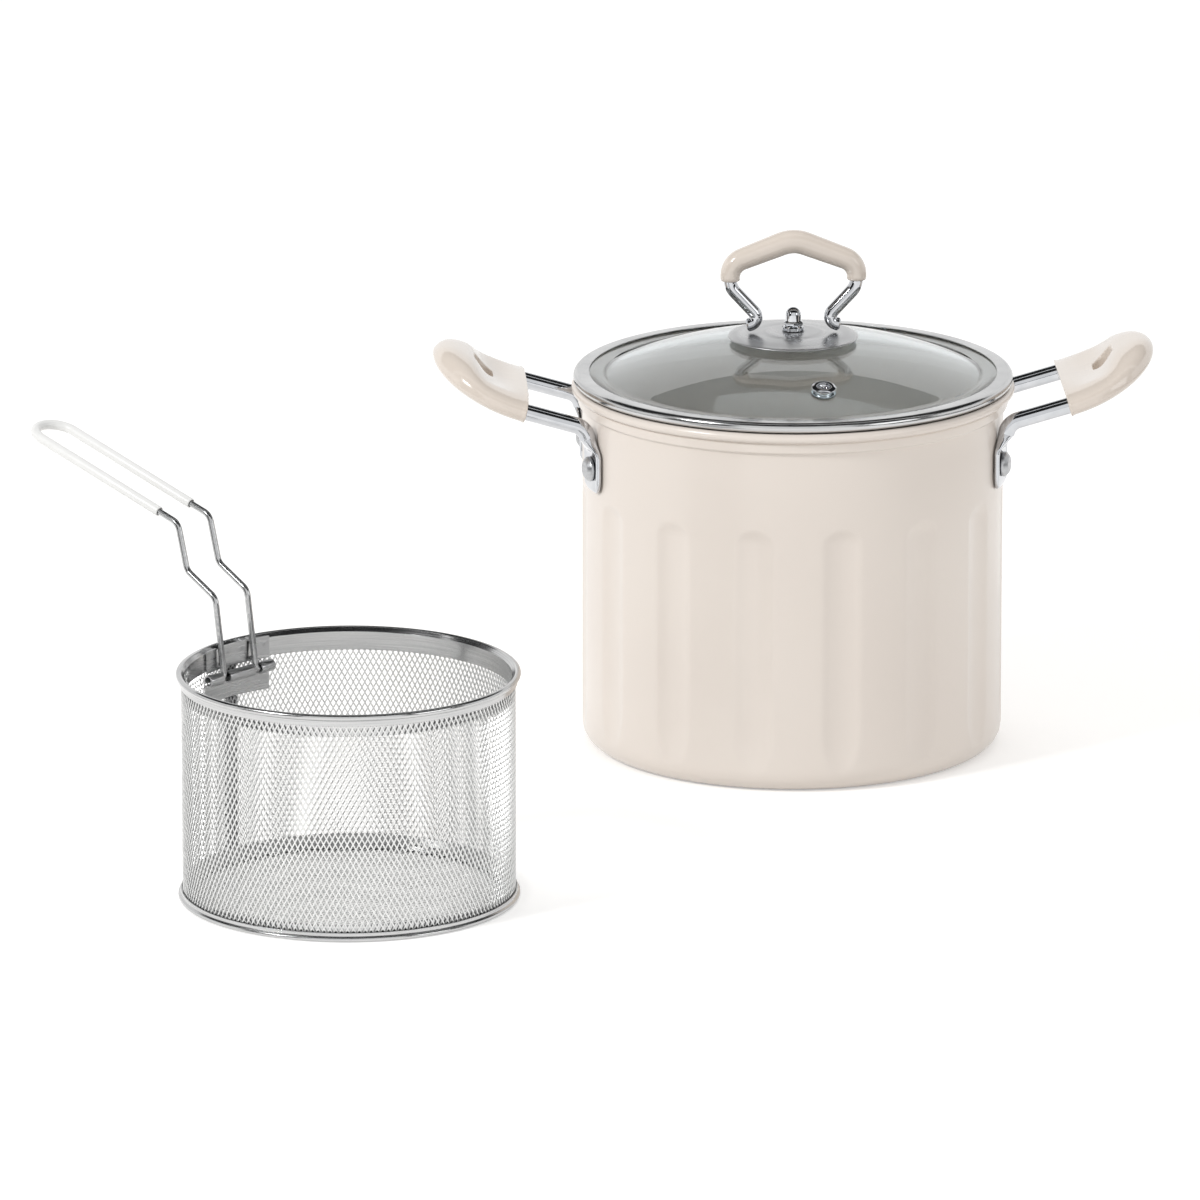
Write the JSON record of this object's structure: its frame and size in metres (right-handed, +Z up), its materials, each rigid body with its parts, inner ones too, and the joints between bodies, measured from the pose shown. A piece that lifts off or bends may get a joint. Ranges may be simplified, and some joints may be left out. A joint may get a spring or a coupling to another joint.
{
  "type": "deep fry pot with basket",
  "caption": "Tall round fry pot with fluted enamel wall, looped side handles, domed glass lid and a stretched-metal basket with a folding wire handle.",
  "frame": {"origin": "centre of the pot's underside", "axes": "+Z up, +X towards the right side handle, -Y towards the viewer; the basket stands in front and to the left"},
  "size_m": [0.5408, 0.4468, 0.2528],
  "materials": {
    "cream_enamel": "satin gloss vitreous enamel, cream",
    "cream_grip": "glossy moulded phenolic, cream",
    "chrome": "polished chrome plate",
    "rivet_metal": "satin aluminium",
    "lid_glass": "clear tempered glass, faint grey",
    "stainless": "bright stainless steel, lightly brushed",
    "silicone": "translucent silicone",
    "white_sleeve": "smooth white dip-coated sleeve"
  },
  "bodies": {
    "pot": {"pot_shell": "cream_enamel", "left_handle_frame": "chrome", "right_handle_frame": "chrome", "left_handle_grip": "cream_grip", "right_handle_grip": "cream_grip", "left_front_rivet": "rivet_metal", "left_rear_rivet": "rivet_metal", "right_front_rivet": "rivet_metal", "right_rear_rivet": "rivet_metal"},
    "lid": {"lid_glass": "lid_glass", "lid_rim_band": "stainless", "steam_vent_grommet": "chrome", "lid_upper_washer": "silicone", "lid_lower_washer": "silicone", "lid_handle_plate": "stainless", "lid_bolt": "stainless", "lid_acorn_nut": "chrome", "lid_handle_loop": "chrome", "lid_handle_grip": "cream_grip"},
    "basket": {"basket_rim_band": "stainless", "basket_side_net": "stainless", "basket_bottom_net": "stainless", "basket_base_ring": "stainless", "basket_inner_seam_strip": "stainless", "basket_outer_seam_strip": "stainless", "bracket_hinge_plate": "stainless", "bracket_upper_plate": "stainless"},
    "basket_handle": {"basket_handle_wire": "stainless", "basket_handle_sleeve": "white_sleeve"}
  },
  "joints": [
    {"name": "lid_lift", "type": "slide", "parent": "pot", "child": "lid", "axis": [0, 0, 1], "range_m": [0, 0.15]},
    {"name": "basket_lift", "type": "slide", "parent": "pot", "child": "basket", "axis": [0, 0, 1], "range_m": [0, 0.22]},
    {"name": "basket_handle_fold", "type": "hinge", "parent": "basket", "child": "basket_handle", "pos_m": [-0.27111, -0.20914, 0.093], "axis": [0.7193, 0.6947, 0], "range_deg": [0, 133]}
  ]
}
